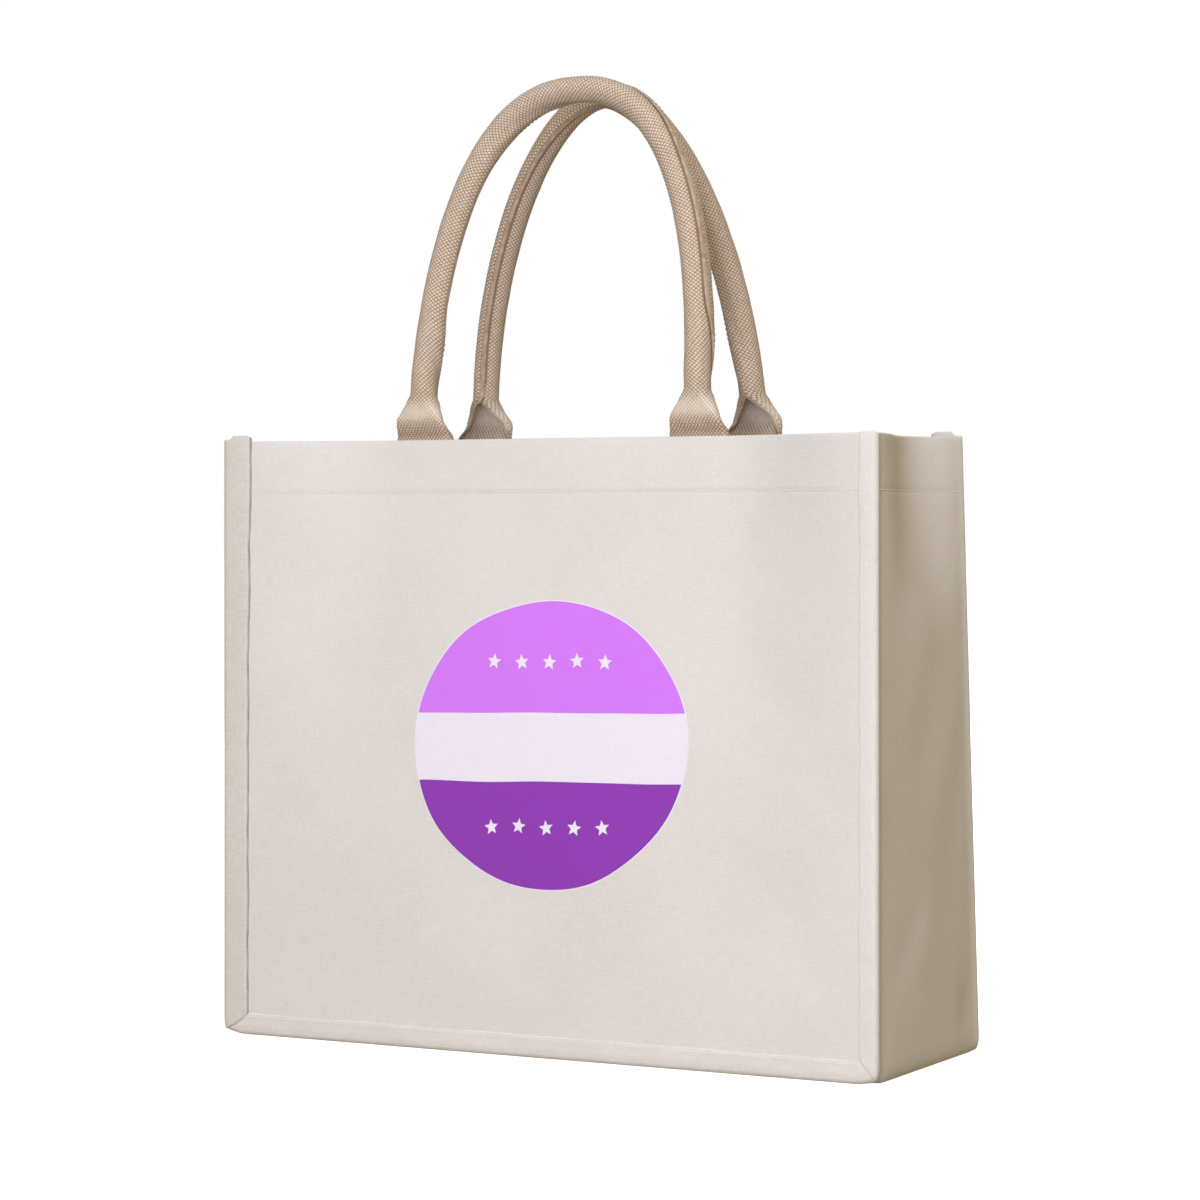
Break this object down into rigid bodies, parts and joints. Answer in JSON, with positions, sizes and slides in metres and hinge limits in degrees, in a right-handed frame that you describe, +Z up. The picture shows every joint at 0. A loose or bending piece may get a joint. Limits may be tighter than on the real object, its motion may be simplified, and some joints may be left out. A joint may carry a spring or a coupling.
{
  "type": "canvas shopping bag",
  "caption": "Box-bottomed canvas shopping bag with stitched edge bindings, a round print and two rope-cored webbing handles that swing on the top hems.",
  "frame": {"origin": "on the floor, at the middle of the bag's base", "axes": "+Z up, -Y out of the printed front wall, +X to the right as seen from the front"},
  "size_m": [0.4242, 0.1514, 0.5649],
  "materials": {
    "canvas": "plain-woven natural cotton canvas, matt",
    "binding": "folded strips of the same canvas, matt",
    "webbing": "coarse twill-woven tan webbing, matt",
    "rope": "soft twisted cotton filler, matt",
    "thread": "spun polyester sewing thread",
    "ink_pale": "flat screen print on canvas, matt",
    "ink_lilac": "flat screen print on canvas, matt",
    "ink_purple": "flat screen print on canvas, matt"
  },
  "bodies": {
    "bag": {"back_base_binding": "binding", "back_base_binding_stitching": "thread", "back_handle_left_anchor": "webbing", "back_handle_left_anchor_stitching": "thread", "back_handle_right_anchor": "webbing", "back_handle_right_anchor_stitching": "thread", "back_hem_stitching": "thread", "back_left_binding": "binding", "back_left_binding_stitching": "thread", "back_panel": "canvas", "back_right_binding": "binding", "back_right_binding_stitching": "thread", "base_panel": "canvas", "front_base_binding": "binding", "front_base_binding_stitching": "thread", "front_handle_left_anchor": "webbing", "front_handle_left_anchor_stitching": "thread", "front_handle_right_anchor": "webbing", "front_handle_right_anchor_stitching": "thread", "front_hem_stitching": "thread", "front_left_binding": "binding", "front_left_binding_stitching": "thread", "front_panel": "canvas", "front_right_binding": "binding", "front_right_binding_stitching": "thread", "left_gusset": "canvas", "left_gusset_hem_stitching": "thread", "print_ground": "ink_pale", "print_lower_band": "ink_purple", "print_upper_band": "ink_lilac", "right_gusset": "canvas", "right_gusset_hem_stitching": "thread"},
    "front_handle": {"front_handle_core": "rope", "front_handle_left_tab": "webbing", "front_handle_right_tab": "webbing", "front_handle_seam_stitching": "thread", "front_handle_sleeve": "webbing"},
    "back_handle": {"back_handle_core": "rope", "back_handle_left_tab": "webbing", "back_handle_right_tab": "webbing", "back_handle_seam_stitching": "thread", "back_handle_sleeve": "webbing"}
  },
  "joints": [
    {"name": "front_handle_swing", "type": "hinge", "parent": "bag", "child": "front_handle", "pos_m": [0, -0.0457, 0.36], "axis": [1, 0, 0], "range_deg": [0, 130]},
    {"name": "back_handle_swing", "type": "hinge", "parent": "bag", "child": "back_handle", "pos_m": [0, 0.028, 0.36], "axis": [-1, 0, 0], "range_deg": [0, 130]}
  ]
}
